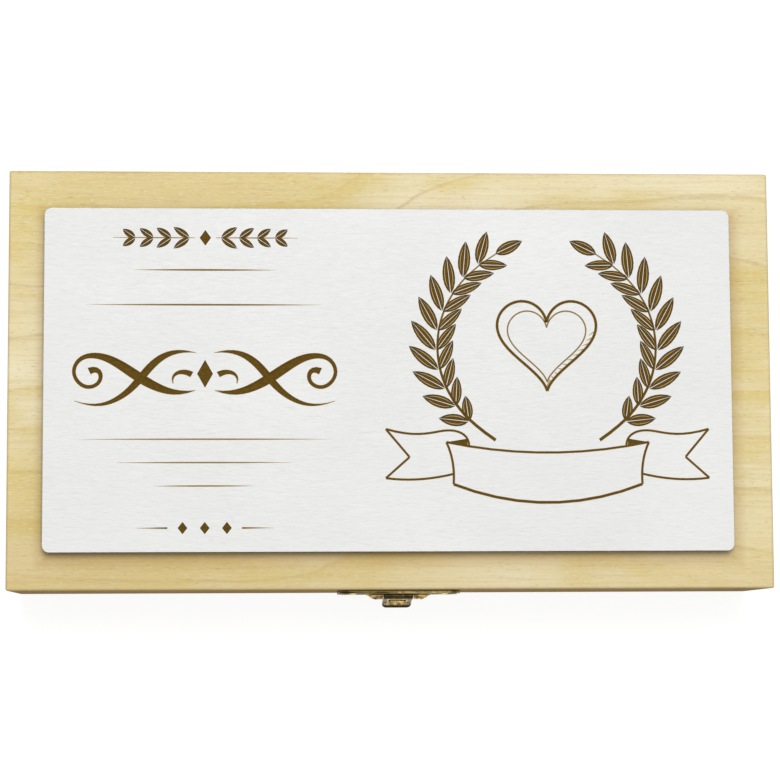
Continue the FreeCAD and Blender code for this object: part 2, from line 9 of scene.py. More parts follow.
import bpy
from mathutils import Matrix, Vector


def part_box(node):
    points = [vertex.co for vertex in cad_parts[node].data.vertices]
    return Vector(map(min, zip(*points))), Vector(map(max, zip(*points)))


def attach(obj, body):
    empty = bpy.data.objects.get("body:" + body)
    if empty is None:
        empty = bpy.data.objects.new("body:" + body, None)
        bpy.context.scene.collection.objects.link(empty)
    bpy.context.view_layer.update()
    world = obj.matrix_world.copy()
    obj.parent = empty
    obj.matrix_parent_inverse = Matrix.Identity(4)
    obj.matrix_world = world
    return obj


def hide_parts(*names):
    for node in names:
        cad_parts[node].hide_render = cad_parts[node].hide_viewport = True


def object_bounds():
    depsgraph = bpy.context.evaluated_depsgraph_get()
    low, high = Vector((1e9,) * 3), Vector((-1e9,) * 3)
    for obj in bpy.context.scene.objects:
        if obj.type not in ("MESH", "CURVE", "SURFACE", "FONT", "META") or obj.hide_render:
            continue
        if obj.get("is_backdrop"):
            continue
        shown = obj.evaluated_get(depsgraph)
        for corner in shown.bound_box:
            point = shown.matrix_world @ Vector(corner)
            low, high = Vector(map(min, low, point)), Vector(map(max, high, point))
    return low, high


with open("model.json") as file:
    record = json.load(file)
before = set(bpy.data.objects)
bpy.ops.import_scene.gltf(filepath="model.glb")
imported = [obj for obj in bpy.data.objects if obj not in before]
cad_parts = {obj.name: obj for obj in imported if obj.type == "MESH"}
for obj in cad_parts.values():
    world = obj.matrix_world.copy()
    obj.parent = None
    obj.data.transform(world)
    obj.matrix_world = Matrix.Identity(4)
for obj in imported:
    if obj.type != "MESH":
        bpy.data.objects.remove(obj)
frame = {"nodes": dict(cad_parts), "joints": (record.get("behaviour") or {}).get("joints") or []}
CAD_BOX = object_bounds()
NODES = frame["nodes"]
MM = 0.001

# The photograph is a square of IMAGE_SIDE pixels, and the lens is given in the same pixels
IMAGE_SIDE = 780
FOCAL_PIXELS = 2550
SENSOR = 36.0
CAMERA_PLACE = Vector((-31.76, -60.6, 615.9)) * MM
CAMERA_TURN = (5.73, -3.06, -0.285)
NEAREST_SEEN = 0.01


def add_camera():
    turn = [math.radians(angle) for angle in CAMERA_TURN]
    bpy.ops.object.camera_add(location=CAMERA_PLACE, rotation=turn)
    camera = bpy.context.object
    camera.data.sensor_width = SENSOR
    camera.data.lens = FOCAL_PIXELS * SENSOR / IMAGE_SIDE
    camera.data.clip_start = NEAREST_SEEN
    bpy.context.scene.camera = camera


# Modelling helpers

SAME_PLACE = 0.001 * MM


def select_only(*things):
    bpy.ops.object.select_all(action="DESELECT")
    for thing in things:
        thing.select_set(True)
    bpy.context.view_layer.objects.active = things[0]


def apply_place(thing):
    select_only(thing)
    bpy.ops.object.transform_apply(location=True, rotation=True, scale=True)


def block(name, low, high):
    """Block between two corners."""
    bpy.ops.object.select_all(action="DESELECT")
    low, high = Vector(low), Vector(high)
    bpy.ops.mesh.primitive_cube_add(size=1, location=(low + high) / 2, scale=high - low)
    thing = bpy.context.object
    thing.name = name
    apply_place(thing)
    return thing


def pick(thing, kind, wanted):
    """Go into edit mode with those vertices, edges or faces selected that pass a test."""
    select_only(thing)
    bpy.ops.object.mode_set(mode="EDIT")
    bpy.ops.mesh.select_mode(type=kind)
    bpy.ops.mesh.select_all(action="DESELECT")
    bpy.ops.object.mode_set(mode="OBJECT")
    mesh = thing.data
    found = {"VERT": mesh.vertices, "EDGE": mesh.edges, "FACE": mesh.polygons}[kind]
    for element in found:
        element.select = bool(wanted(mesh, element))
    bpy.ops.object.mode_set(mode="EDIT")


def pick_all(thing):
    """Go into edit mode with everything selected."""
    select_only(thing)
    bpy.ops.object.mode_set(mode="EDIT")
    bpy.ops.mesh.select_all(action="SELECT")


def leave_edit():
    bpy.ops.object.mode_set(mode="OBJECT")


def edge_ends(mesh, edge):
    return [mesh.vertices[number].co for number in edge.vertices]


def near(one, other):
    return abs(one - other) < SAME_PLACE


def faces_up(face):
    return face.normal.z > 0.98


def leans_up(face):
    return face.normal.z > 0.3


def faces_front(face):
    return face.normal.y < -0.99


def leans_front(face):
    return face.normal.y < -0.5


def merge_outward(thing):
    """Merge doubles and turn the faces outwards."""
    pick_all(thing)
    bpy.ops.mesh.remove_doubles(threshold=SAME_PLACE)
    bpy.ops.mesh.normals_make_consistent(inside=False)
    leave_edit()


def smooth(thing, degrees=32):
    select_only(thing)
    bpy.ops.object.shade_smooth_by_angle(angle=math.radians(degrees))


def apply_modifier(thing, kind, **settings):
    modifier = thing.modifiers.new(kind.lower(), kind)
    for name, value in settings.items():
        setattr(modifier, name, value)
    select_only(thing)
    bpy.ops.object.modifier_apply(modifier=modifier.name)


def subtract(thing, cutter, **settings):
    apply_modifier(
        thing, "BOOLEAN", operation="DIFFERENCE", solver="MANIFOLD", object=cutter, **settings
    )
    bpy.data.objects.remove(cutter)


# Material helpers


class Finish:
    """A material being mixed: each method adds one node and hands back its output."""

    def __init__(self, name):
        self.material = bpy.data.materials.new(name)
        self.material.use_nodes = True
        self.nodes = self.material.node_tree.nodes
        self.links = self.material.node_tree.links
        self.shader = self.nodes["Principled BSDF"]
        source = self.nodes.new("ShaderNodeTexCoord")
        self.place = source.outputs["Object"]
        self.facing = source.outputs["Normal"]

    def feed(self, socket, value):
        if isinstance(value, bpy.types.NodeSocket):
            self.links.new(value, socket)
        elif value is not None:
            socket.default_value = value

    def surface(self, **values):
        """Set the shader's own sockets, named with underscores for spaces."""
        for name, value in values.items():
            self.feed(self.shader.inputs[name.replace("_", " ")], value)

    def mapped(self, scale=(1, 1, 1), shift=(0, 0, 0), turn=(0, 0, 0), vector=None):
        node = self.nodes.new("ShaderNodeMapping")
        self.feed(node.inputs["Vector"], vector or self.place)
        node.inputs["Location"].default_value = shift
        node.inputs["Rotation"].default_value = [math.radians(angle) for angle in turn]
        node.inputs["Scale"].default_value = scale
        return node.outputs["Vector"]

    def noise(self, vector, detail=2.0, roughness=0.5, distortion=0.0):
        node = self.nodes.new("ShaderNodeTexNoise")
        self.feed(node.inputs["Vector"], vector)
        node.inputs["Scale"].default_value = 1.0
        node.inputs["Detail"].default_value = detail
        node.inputs["Roughness"].default_value = roughness
        node.inputs["Distortion"].default_value = distortion
        return node.outputs["Fac"]

    def rings(self, vector, spacing, distortion, detail, detail_scale):
        """Growth rings about the vector's own X axis."""
        node = self.nodes.new("ShaderNodeTexWave")
        node.wave_type = "RINGS"
        node.rings_direction = "X"
        node.wave_profile = "SAW"
        self.feed(node.inputs["Vector"], vector)
        node.inputs["Scale"].default_value = 2 * math.pi / (20 * spacing)
        node.inputs["Distortion"].default_value = distortion
        node.inputs["Detail"].default_value = detail
        node.inputs["Detail Scale"].default_value = detail_scale
        return node.outputs["Fac"]

    def math(self, operation, first, second=0.0):
        node = self.nodes.new("ShaderNodeMath")
        node.operation = operation
        self.feed(node.inputs[0], first)
        self.feed(node.inputs[1], second)
        return node.outputs["Value"]

    def spread(self, value, low, high, start=0.0, end=1.0):
        """Carry the range low to high over to start to end, and clamp it there."""
        node = self.nodes.new("ShaderNodeMapRange")
        self.feed(node.inputs["Value"], value)
        for name, number in (("From Min", low), ("From Max", high), ("To Min", start), ("To Max", end)):
            node.inputs[name].default_value = number
        return node.outputs["Result"]

    def ramp(self, value, *stops):
        """Colours at places from 0 to 1."""
        node = self.nodes.new("ShaderNodeValToRGB")
        elements = node.color_ramp.elements
        while len(elements) < len(stops):
            elements.new(1.0)
        for element, (place, colour) in zip(elements, stops):
            element.position = place
            element.color = (*colour, 1.0)
        self.feed(node.inputs["Fac"], value)
        return node.outputs["Color"]

    def blend(self, share, under, over):
        node = self.nodes.new("ShaderNodeMix")
        node.data_type = "RGBA"
        for name, value in (("Factor_Float", share), ("A_Color", under), ("B_Color", over)):
            socket = next(entry for entry in node.inputs if entry.identifier == name)
            self.feed(socket, (*value, 1.0) if isinstance(value, tuple) else value)
        return next(entry for entry in node.outputs if entry.identifier == "Result_Color")

    def split(self, vector):
        node = self.nodes.new("ShaderNodeSeparateXYZ")
        self.feed(node.inputs["Vector"], vector)
        return node.outputs["X"], node.outputs["Y"], node.outputs["Z"]

    def relief(self, height, depth, strength=1.0, under=None):
        node = self.nodes.new("ShaderNodeBump")
        node.inputs["Strength"].default_value = strength
        node.inputs["Distance"].default_value = depth
        self.feed(node.inputs["Height"], height)
        self.feed(node.inputs["Normal"], under)
        self.feed(self.shader.inputs["Normal"], node.outputs["Normal"])
        return node.outputs["Normal"]


# Wood

BIRCH = (0.752, 0.630, 0.345)
BIRCH_LIGHT = (0.800, 0.695, 0.425)
BIRCH_PALE = (0.830, 0.745, 0.505)
BIRCH_WARM = (0.715, 0.575, 0.265)
BIRCH_YELLOW = (0.690, 0.540, 0.175)
BIRCH_DARK = (0.530, 0.385, 0.165)
BIRCH_FLECK = (0.350, 0.240, 0.095)
WALL = (0.670, 0.440, 0.185)
WALL_LIGHT = (0.740, 0.520, 0.252)
WALL_DARK = (0.520, 0.310, 0.113)
END_GRAIN = (0.430, 0.295, 0.130)
GLUE_LINE = (0.250, 0.165, 0.070)
BARE, FULL = (0.0, 0.0, 0.0), (1.0, 1.0, 1.0)
GROWTH_LINES_PER_METRE = 85.0
# Painted shade on the veneer: darker within this reach of the front edge, reaching further in on the
# left
FRONT_SHADE_REACH = 16 * MM
FRONT_SHADE_SLANT = 0.06
# Narrow band along the outer edges of a panel that is painted darker
DARK_RIM_BAND = (0.7 * MM, 0.1 * MM)
# Painted warm shadow round the plaque: its colour, how far it reaches, and how far it is moved towards
# the front and right
PAINTED_SHADOW = (0.360, 0.150, 0.020)
PAINTED_SHADOW_REACH = 3.0 * MM
PAINTED_SHADOW_SHIFT = (0.5 * MM, -1.3 * MM, 0.0)


def fibres(finish, along, colour, pale_share=0.5):
    """Fine streaks, short dark flecks and pale ones along the X axis of a mapped vector."""
    streak = finish.noise(finish.mapped((60, 1700, 1700), vector=along), detail=3, roughness=0.6)
    colour = finish.blend(finish.spread(streak, 0.45, 0.75, 0.0, 0.30), colour, BIRCH_DARK)
    pale = finish.noise(finish.mapped((600, 2900, 2900), (0.5, 0.2, 0.7), vector=along), detail=1)
    colour = finish.blend(finish.spread(pale, 0.56, 0.74, 0.0, pale_share), colour, BIRCH_PALE)
    fleck = finish.noise(finish.mapped((620, 2700, 2700), vector=along), detail=1.5)
    colour = finish.blend(finish.spread(fleck, 0.60, 0.78, 0.0, 0.34), colour, BIRCH_FLECK)
    return colour, streak


def wood_surface(finish, colour, streak, gloss):
    finish.surface(Base_Color=colour, Roughness=finish.spread(streak, 0.3, 0.7, 0.5, 0.66))
    finish.surface(Specular_IOR_Level=gloss)
    finish.relief(streak, 0.05 * MM, 0.7)
    return finish.material


def growth_lines(finish, along, colour):
    """Broad tones, growth lines that wander along the grain, and soft yellow clouds beside them."""
    broad = finish.noise(finish.mapped((9, 21, 21), vector=along), detail=2)
    colour = finish.blend(finish.spread(broad, 0.48, 0.68, 0.0, 0.9), colour, BIRCH_WARM)
    wander = finish.noise(finish.mapped((5, 11, 11), vector=along), detail=1.5, distortion=0.4)
    ragged = finish.noise(finish.mapped((110, 420, 420), vector=along), detail=2)
    across_grain = finish.split(along)[1]
    field = finish.math("MULTIPLY", across_grain, GROWTH_LINES_PER_METRE)
    field = finish.math("ADD", field, finish.math("MULTIPLY", wander, 8.0))
    field = finish.math("ADD", field, finish.math("MULTIPLY", ragged, 0.12))
    contour = finish.math("FRACT", field)
    strength = finish.noise(finish.mapped((22, 46, 46), (0.3, 0.3, 0.3), vector=along), detail=2)
    halo = finish.ramp(contour, (0.0, BARE), (0.50, BARE), (0.94, FULL), (0.99, BARE))
    share = finish.math("MULTIPLY", halo, finish.spread(strength, 0.40, 0.62, 0.0, 0.75))
    colour = finish.blend(share, colour, BIRCH_YELLOW)
    line = finish.ramp(contour, (0.0, BARE), (0.88, BARE), (0.95, FULL), (0.985, BARE))
    share = finish.math("MULTIPLY", line, finish.spread(strength, 0.60, 0.40, 0.0, 0.5))
    colour = finish.blend(share, colour, BIRCH_DARK)
    slanted = finish.mapped((30, 80, 80), turn=(0, 0, 20), vector=along)
    cloud = finish.noise(slanted, detail=3, roughness=0.6)
    return finish.blend(finish.spread(cloud, 0.50, 0.74, 0.0, 0.85), colour, BIRCH_YELLOW)


def painted_shadow_beside(finish, colour, node):
    """Painted warm shadow on the upper face, round a board that is glued on it, reaching further out at
    the front and on the right.
    """
    low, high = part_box(node)
    middle = (low + high) / 2 + Vector(PAINTED_SHADOW_SHIFT)
    half = (high - low) / 2
    gaps = []
    for place, centre, reach in zip(finish.split(finish.place)[:2], middle, half):
        offset = finish.math("ABSOLUTE", finish.math("SUBTRACT", place, centre))
        gaps.append(finish.math("SUBTRACT", offset, reach))
    share = finish.spread(finish.math("MAXIMUM", *gaps), 0.0, PAINTED_SHADOW_REACH, 0.3, 0.0)
    on_top = finish.spread(finish.split(finish.facing)[2], 0.5, 0.9)
    return finish.blend(finish.math("MULTIPLY", share, on_top), colour, PAINTED_SHADOW)


def veneer_wood(name, node, shift, glued_on=None):
    """Birch plywood: veneer on the faces, and on the edges three plies with glue lines between them."""
    finish = Finish(name)
    along = finish.mapped(shift=shift)
    tone = finish.noise(finish.mapped((14, 30, 30), vector=along), detail=3)
    colour = finish.ramp(tone, (0.34, BIRCH_PALE), (0.46, BIRCH_LIGHT), (0.62, BIRCH))
    colour, streak = fibres(finish, along, growth_lines(finish, along, colour))

    low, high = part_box(node)
    across, back, up = finish.split(finish.place)
    # Painted shade: darker towards the front edge, and a little further in on the left
    from_front = finish.math("ADD", back, finish.math("MULTIPLY", across, FRONT_SHADE_SLANT))
    painted_front_shade = finish.spread(from_front, low.y + FRONT_SHADE_REACH, low.y, 0.0, 0.28)
    colour = finish.blend(painted_front_shade, colour, BIRCH_DARK)
    level = finish.spread(up, low.z, high.z)
    glue = finish.ramp(
        level, (0.30, BARE), (0.335, FULL), (0.37, BARE), (0.63, BARE), (0.665, FULL), (0.70, BARE)
    )
    core = finish.ramp(level, (0.33, BARE), (0.34, FULL), (0.66, FULL), (0.67, BARE))
    facing_across, _, facing_up = finish.split(finish.facing)
    on_edge = finish.spread(finish.math("ABSOLUTE", facing_up), 0.5, 0.3)
    on_end = finish.spread(finish.math("ABSOLUTE", facing_across), 0.5, 0.8)
    colour = finish.blend(finish.math("MULTIPLY", on_edge, 0.7), colour, WALL)
    end_grain = finish.math("ABSOLUTE", finish.math("SUBTRACT", core, on_end))
    for share, strength, tint in ((end_grain, 0.5, END_GRAIN), (glue, 0.7, GLUE_LINE)):
        share = finish.math("MULTIPLY", finish.math("MULTIPLY", share, on_edge), strength)
        colour = finish.blend(share, colour, tint)

    # Darker in a narrow band along the outer edges of the panel
    rims = []
    for place, edge in ((across, high.x), (back, high.y)):
        rims.append(finish.spread(finish.math("ABSOLUTE", place), *[edge - inset for inset in DARK_RIM_BAND]))
    rim = finish.math("MULTIPLY", finish.math("MAXIMUM", *rims), 0.4)
    colour = finish.blend(rim, colour, BIRCH_DARK)
    # Painted shadow round the glued-on board
    if glued_on:
        colour = painted_shadow_beside(finish, colour, glued_on)
    return wood_surface(finish, colour, streak, 0.06)


def solid_wood(name, turn, shift):
    """Plain sawn wood in the round, so that rings show on the ends and streaks on the sides."""
    finish = Finish(name)
    along = finish.mapped(shift=shift, turn=(0, 0, turn))
    ring = finish.rings(finish.mapped((0.10, 1, 1), vector=along), 4.3 * MM, 4.5, 3.0, 22.0)
    colour = finish.ramp(ring, (0.0, WALL_LIGHT), (0.6, WALL), (0.94, WALL_DARK), (1.0, WALL_LIGHT))
    cloud = finish.noise(finish.mapped((14, 90, 90), vector=along), detail=3)
    colour = finish.blend(finish.spread(cloud, 0.35, 0.62, 0.15, 0.85), colour, WALL)
    colour, streak = fibres(finish, along, colour, pale_share=0.2)
    facing_across, facing_back, _ = finish.split(finish.facing)
    facing_end = finish.math("ABSOLUTE", facing_back if turn else facing_across)
    colour = finish.blend(finish.spread(facing_end, 0.6, 0.9, 0.0, 0.45), colour, END_GRAIN)
    return wood_surface(finish, colour, streak, 0.0)


# Brass

BRASS_PLAIN = (0.80, 0.60, 0.25)
BRASS_BRIGHT = (0.95, 0.75, 0.33)
BRASS_DULL = (0.58, 0.41, 0.14)
BRASS_TARNISH_AND_SHADE = (0.09, 0.060, 0.022)


def brass(name, tone, wear, painted_shade_side=None, clouded=None):
    """Plated brass: bright, with fine brushed lines, brown specks and larger clouds of tarnish.

    A side, when given, is two places across and how much the clouds gain at each of them: painted shade
    that darkens one end of a plate. The clouds are as dense as clouded says, or as the wear makes them.
    """
    clouded = clouded or 0.2 + 0.65 * wear
    finish = Finish(name)
    plain, bright, dull, tarnish_and_shade = [
        tuple(tone * part for part in colour)
        for colour in (BRASS_PLAIN, BRASS_BRIGHT, BRASS_DULL, BRASS_TARNISH_AND_SHADE)
    ]
    mottle = finish.noise(finish.mapped((1100, 1100, 1100)), detail=3, roughness=0.6)
    worn = finish.ramp(mottle, (0.41, tarnish_and_shade), (0.50, dull), (0.60, bright))
    colour = finish.blend(wear, plain, worn)
    cloud = finish.noise(finish.mapped((80, 80, 80)), detail=2)
    # Painted shade: the clouds grow denser towards one end of the plate, which darkens it there
    if painted_shade_side:
        across = finish.split(finish.place)[0]
        cloud = finish.math("ADD", cloud, finish.spread(across, *painted_shade_side))
    colour = finish.blend(finish.spread(cloud, 0.50, 0.66, 0.0, clouded), colour, tarnish_and_shade)
    brushed = finish.noise(finish.mapped((150, 5000, 5000)), detail=2)
    finish.surface(Metallic=1.0, Base_Color=colour)
    finish.surface(Roughness=finish.spread(finish.math("ADD", mottle, brushed), 0.7, 1.3, 0.44, 0.20))
    dents = finish.noise(finish.mapped((1700, 1700, 1700)), detail=2)
    under = finish.relief(dents, 0.05 * MM, 0.15 + 0.4 * wear)
    finish.relief(brushed, 0.02 * MM, 0.3, under)
    return finish.material


# Finishes on the model's own pieces


def dress(node, material):
    slots = NODES[node].data.materials
    slots.clear()
    slots.append(material)


def dress_wood():
    """Wood on walls and panels, each with a shift of its own, so that no two show the same grain."""
    for number, place in enumerate(("base", "lid")):
        for side, turn in (("front", 0), ("back", 0), ("left", 90), ("right", 90)):
            node = f"{place}_{side}_wall"
            shift = (0.31 * number, 0.11 + 0.02 * turn / 90, 0.16 + 0.05 * len(side))
            dress(node, solid_wood(f"{node}_wood", turn, shift))
    dress("lid_top_panel", veneer_wood("lid_veneer", "lid_top_panel", (0.21, 0.44, 0.0), "plaque"))
    dress("base_bottom_panel", veneer_wood("bottom_veneer", "base_bottom_panel", (0.83, 0.12, 0.3)))


# Engraved plaque: places on its face are millimetres from its centre

PLAQUE_LOW, PLAQUE_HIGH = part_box("plaque")
PLAQUE_CORNER = 1.6 * MM
PAINT_EDGE = 0.18 * MM
ENGRAVED_DEPTH = 0.22 * MM
SLIVER = 0.0003 * MM
SCORCHED = (0.560, 0.400, 0.190)
SCORCHED_RIM = 0.08 * MM
SCORCHED_AREA = 1.5 * MM**2
LINE_FLATNESS = 0.36
LEAF_RISE = (0.72, 0.62)
LEAF_HANDLES = (0.24, 0.72)
HATCHED_ENDS = (0.16, 0.84)
HATCHED_SHARES = (0.52, 0.62)
RULED_PLACE = (-42.0, 0.0)
WREATH_PLACE = (36.0, 0.0)


def white_paint():
    """Matt white paint that follows the fine wrinkled grain of the board."""
    finish = Finish("white_paint")
    wrinkle = finish.noise(finish.mapped((330, 1250, 600)), detail=4, roughness=0.55, distortion=0.9)
    crease = finish.noise(finish.mapped((420, 2300, 800)), detail=2, distortion=0.6)
    cloud = finish.noise(finish.mapped((26, 40, 40)), detail=2)
    colour = finish.ramp(cloud, (0.3, (0.748, 0.755, 0.736)), (0.7, (0.786, 0.793, 0.776)))
    colour = finish.blend(finish.spread(crease, 0.56, 0.76, 0.0, 0.5), colour, (0.67, 0.68, 0.66))
    finish.surface(Base_Color=colour, Roughness=finish.spread(wrinkle, 0.3, 0.7, 0.40, 0.58))
    finish.surface(Specular_IOR_Level=0.35)
    under = finish.relief(crease, 0.06 * MM, 0.7)
    finish.relief(wrinkle, 0.13 * MM, 0.9, under)
    return finish.material


def burnt_edge():
    """Laser cut edge of the board, charred in upright streaks."""
    finish = Finish("burnt_edge")
    streak = finish.noise(finish.mapped((1300, 1300, 90)), detail=3)
    colour = finish.ramp(streak, (0.3, (0.030, 0.017, 0.008)), (0.75, (0.115, 0.066, 0.028)))
    finish.surface(Base_Color=colour, Roughness=0.75, Specular_IOR_Level=0.2)
    finish.relief(streak, 0.05 * MM, 0.7)
    return finish.material


def burnt_line():
    """Brown floor and sides of the engraved lines, lighter at their rims."""
    finish = Finish("burnt_line")
    speckle = finish.noise(finish.mapped((1500, 2600, 2600)), detail=3)
    colour = finish.ramp(speckle, (0.3, (0.096, 0.050, 0.005)), (0.7, (0.140, 0.082, 0.010)))
    up = finish.split(finish.place)[2]
    rim = finish.spread(up, PLAQUE_HIGH.z - SCORCHED_RIM, PLAQUE_HIGH.z, 0.0, 0.9)
    finish.surface(Base_Color=finish.blend(rim, colour, SCORCHED))
    finish.surface(Roughness=0.8, Specular_IOR_Level=0.08)
    return finish.material


def scorched_paint():
    """Paint left standing between the close lines of a leaf."""
    finish = Finish("scorched_paint")
    finish.surface(Base_Color=(*SCORCHED, 1.0), Roughness=0.6, Specular_IOR_Level=0.2)
    return finish.material


def turned(point, degrees):
    angle = math.radians(degrees)
    across, up = point
    turned_across = across * math.cos(angle) - up * math.sin(angle)
    turned_up = across * math.sin(angle) + up * math.cos(angle)
    return (turned_across, turned_up)


def moved(point, place):
    return (point[0] + place[0], point[1] + place[1])


def mirrored(point, side):
    return (point[0] * side, point[1])


def straight_shape(corners):
    """Outline with straight sides, as knots whose handles lie on them."""
    return [(corner, corner, corner) for corner in corners]


def diamond(place, width, height):
    corners = [(width / 2, 0), (0, height / 2), (-width / 2, 0), (0, -height / 2)]
    return straight_shape([moved(corner, place) for corner in corners])


def leaf(place, heading, length, width, vein=0.14, hatched=True):
    """Two half leaves beside a bare midrib, each with a bare line of hatching inside it.

    A curve over a half leaf is given by its two ends and by its rise, as a share of the half leaf's own.
    """
    def curved(side, start, end, inner, outer):
        """Outline between an inner and an outer curve."""
        low, high = [
            [side * (vein / 2 + rise * width * share) for rise in LEAF_RISE] for share in (inner, outer)
        ]
        first, last = [share * length for share in LEAF_HANDLES]
        base = (start, (first, low[0]), (first, high[0]))
        tip = (end, (last, high[1]), (last, low[1]))
        return [tuple(moved(turned(point, heading), place) for point in knot) for knot in (base, tip)]

    outlines = []
    for side in (-1, 1):
        start, end = (0.02 * length, side * vein / 2), (length, side * vein / 8)
        outlines.append(curved(side, start, end, 0.0, 1.0))
        if hatched:
            start, end = [(share * length, side * 0.10 * width) for share in HATCHED_ENDS]
            outlines.append(curved(side, start, end, *HATCHED_SHARES))
    return outlines


class Drawing:
    """Lines and filled shapes of the engraving, in layers whose own pieces don't cross."""

    def __init__(self):
        self.lines = {}
        self.shapes = {}

    def line(self, points, layer=0):
        """A pen line through (across, up, half width)."""
        self.lines.setdefault(layer, []).append(points)

    def shape(self, outline, layer=0):
        self.shapes.setdefault(layer, []).append(outline)

    def leaf(self, *measures, layer=0, hatched=True):
        for outline in leaf(*measures, hatched=hatched):
            self.shape(outline, layer)


def wreath(drawing):
    """Two laurel branches on an ellipse, open above."""
    middle = moved(WREATH_PLACE, (0, 7.4))
    reach, rise = 25.4, 24.2
    first, last, pairs, steps = -62.0, 64.0, 10, 8
    for side in (-1, 1):
        def on_branch(degrees):
            angle = math.radians(degrees)
            return moved(mirrored((reach * math.cos(angle), rise * math.sin(angle)), side), middle)

        stem = []
        for step in range(steps + 1):
            degrees = first + (last - first) * step / steps
            stem.append((*on_branch(degrees), 0.42 - 0.24 * step / steps))
        drawing.line(stem)
        for number in range(pairs + 1):
            degrees = first + 17 + (last - first - 18.5) * number / pairs
            here, ahead = on_branch(degrees), on_branch(degrees + 1)
            heading = math.degrees(math.atan2(ahead[1] - here[1], ahead[0] - here[0]))
            length = 9.0 - 2.0 * abs(2 * number / pairs - 1) ** 3
            if number == pairs:
                drawing.leaf(here, heading, length, 2.7, layer=2)
                continue
            for twig, (spread, share) in enumerate(((-38, 1.0), (38, 0.86))):
                layer = twig + 2 * (number % 2)
                drawing.leaf(here, heading + side * spread, length * share, 2.7 * share, layer=layer)


def heart(drawing):
    """Plain heart in double outline, with short shading strokes low on one side."""
    middle = moved(WREATH_PLACE, (0, 9.5))

    def outline(size, degrees, drop=0.0):
        angle = math.radians(degrees)
        across = 16 * math.sin(angle) ** 3
        waves = ((13, 1), (-5, 2), (-2, 3), (-1, 4))
        up = sum(height * math.cos(count * angle) for height, count in waves)
        return moved((across * size, up * size - drop), middle)

    for size, half_width, drop in ((0.72, 0.36, 0.0), (0.57, 0.2, 0.5)):
        for layer, side in enumerate((-1, 1)):
            points = [(*outline(size, side * degrees, drop), half_width) for degrees in range(0, 181, 9)]
            drawing.line(points, layer)
    for degrees in range(96, 172, 6):
        drawing.line([(*outline(0.69, degrees), 0.16), (*outline(0.63, degrees + 3), 0.08)], layer=2)


def ribbon(drawing):
    """Plain banner under the wreath, with swallow tails that turn back over its upper corners."""
    corner, foot, turn = (23.2, -14.4), (21.6, -24.0), (18.0, -12.6)
    tail_top, notch, tail_foot = (37.0, -11.4), (31.6, -17.8), (37.0, -22.6)

    def pen(half_width, layer, *points):
        drawing.line([(*moved(point, WREATH_PLACE), half_width) for point in points], layer)

    pen(0.31, 0, mirrored(corner, -1), (0, -19.2), corner)
    pen(0.37, 0, mirrored(foot, -1), (0, -32.4), foot)
    for side in (-1, 1):
        strokes = (
            (0.31, 1, corner, (21.2, -18.6), foot),
            (0.3, 1, (turn[0], -15.3), turn, (23.0, -10.4), (29.6, -13.6), tail_top),
            (0.3, 2, tail_top, notch),
            (0.3, 3, notch, tail_foot),
            (0.3, 2, tail_foot, (29.4, -23.6), (21.4, -21.6)),
        )
        for half_width, layer, *points in strokes:
            pen(half_width, layer, *[mirrored(point, side) for point in points])
        fold = [(turn[0] + 0.4, -13.6), corner, (turn[0] + 0.4, -15.4)]
        drawing.shape(straight_shape([moved(mirrored(point, side), WREATH_PLACE) for point in fold]))


def level_line(drawing, up, stops):
    """A level pen line through (across, half width), in the ruled block."""
    drawing.line([(*moved((across, up), RULED_PLACE), half_width) for across, half_width in stops])


def rule(drawing, up, length, half_width):
    """Straight line to write on, thin at its ends."""
    places = ((-0.5, 0.06), (-0.3, 0.8), (0, 1.0), (0.3, 0.8), (0.5, 0.06))
    level_line(drawing, up, [(share * length, weight * half_width) for share, weight in places])


def sprig(drawing, up, length):
    """Straight twig with small leaves that point outwards from a diamond."""
    drawing.shape(diamond(moved((0, up), RULED_PLACE), 2.6, 3.6))
    for side in (-1, 1):
        reach = side * length / 2
        level_line(drawing, up, ((side * 2.4, 0.1), (reach * 0.5, 0.24), (reach, 0.08)))
        for number in range(4):
            place = moved((side * (3.6 + 4.1 * number), up), RULED_PLACE)
            for layer, spread in enumerate((-34, 34)):
                heading = spread if side > 0 else 180 - spread
                drawing.leaf(place, heading, 4.4 - 0.3 * number, 1.5, 0.1, layer=layer, hatched=False)


def flourish(drawing, up):
    """Broad pen flourish, alike on both sides of a diamond."""
    swash = [
        (2.2, -3.2, 0.10), (6.0, -4.2, 0.60), (11.5, -2.6, 1.10), (17.0, 1.2, 1.25), (22.5, 4.8, 0.85),
        (28.2, 5.0, 0.50), (30.6, 0.6, 0.45), (27.0, -3.4, 0.50), (22.6, -1.2, 0.45), (24.0, 2.2, 0.60),
        (26.2, 1.2, 0.85),
    ]
    counter = [
        (2.0, 5.4, 0.08), (6.0, 6.2, 0.45), (11.0, 4.4, 0.95), (15.0, -1.2, 0.95), (19.5, -5.6, 0.60),
        (25.0, -7.2, 0.30), (29.5, -5.6, 0.10),
    ]
    curl = [(3.0, 0.4, 0.75), (5.4, 1.8, 0.55), (8.0, 0.6, 0.35), (7.2, -1.6, 0.15)]
    for side in (-1, 1):
        for layer, pen in enumerate((swash, counter, curl)):
            points = [(*moved((side * x, y + up), RULED_PLACE), weight) for x, y, weight in pen]
            drawing.line(points, layer)
    drawing.shape(diamond(moved((0, up + 0.6), RULED_PLACE), 3.6, 6.4))


def end_mark(drawing, up):
    """Row of three diamonds between short rules."""
    for across in (-5, 0, 5):
        drawing.shape(diamond(moved((across, up), RULED_PLACE), 2.2, 2.8))
    for side in (-1, 1):
        level_line(drawing, up, ((side * 8.4, 0.24), (side * 11.0, 0.2), (side * 15.5, 0.05)))


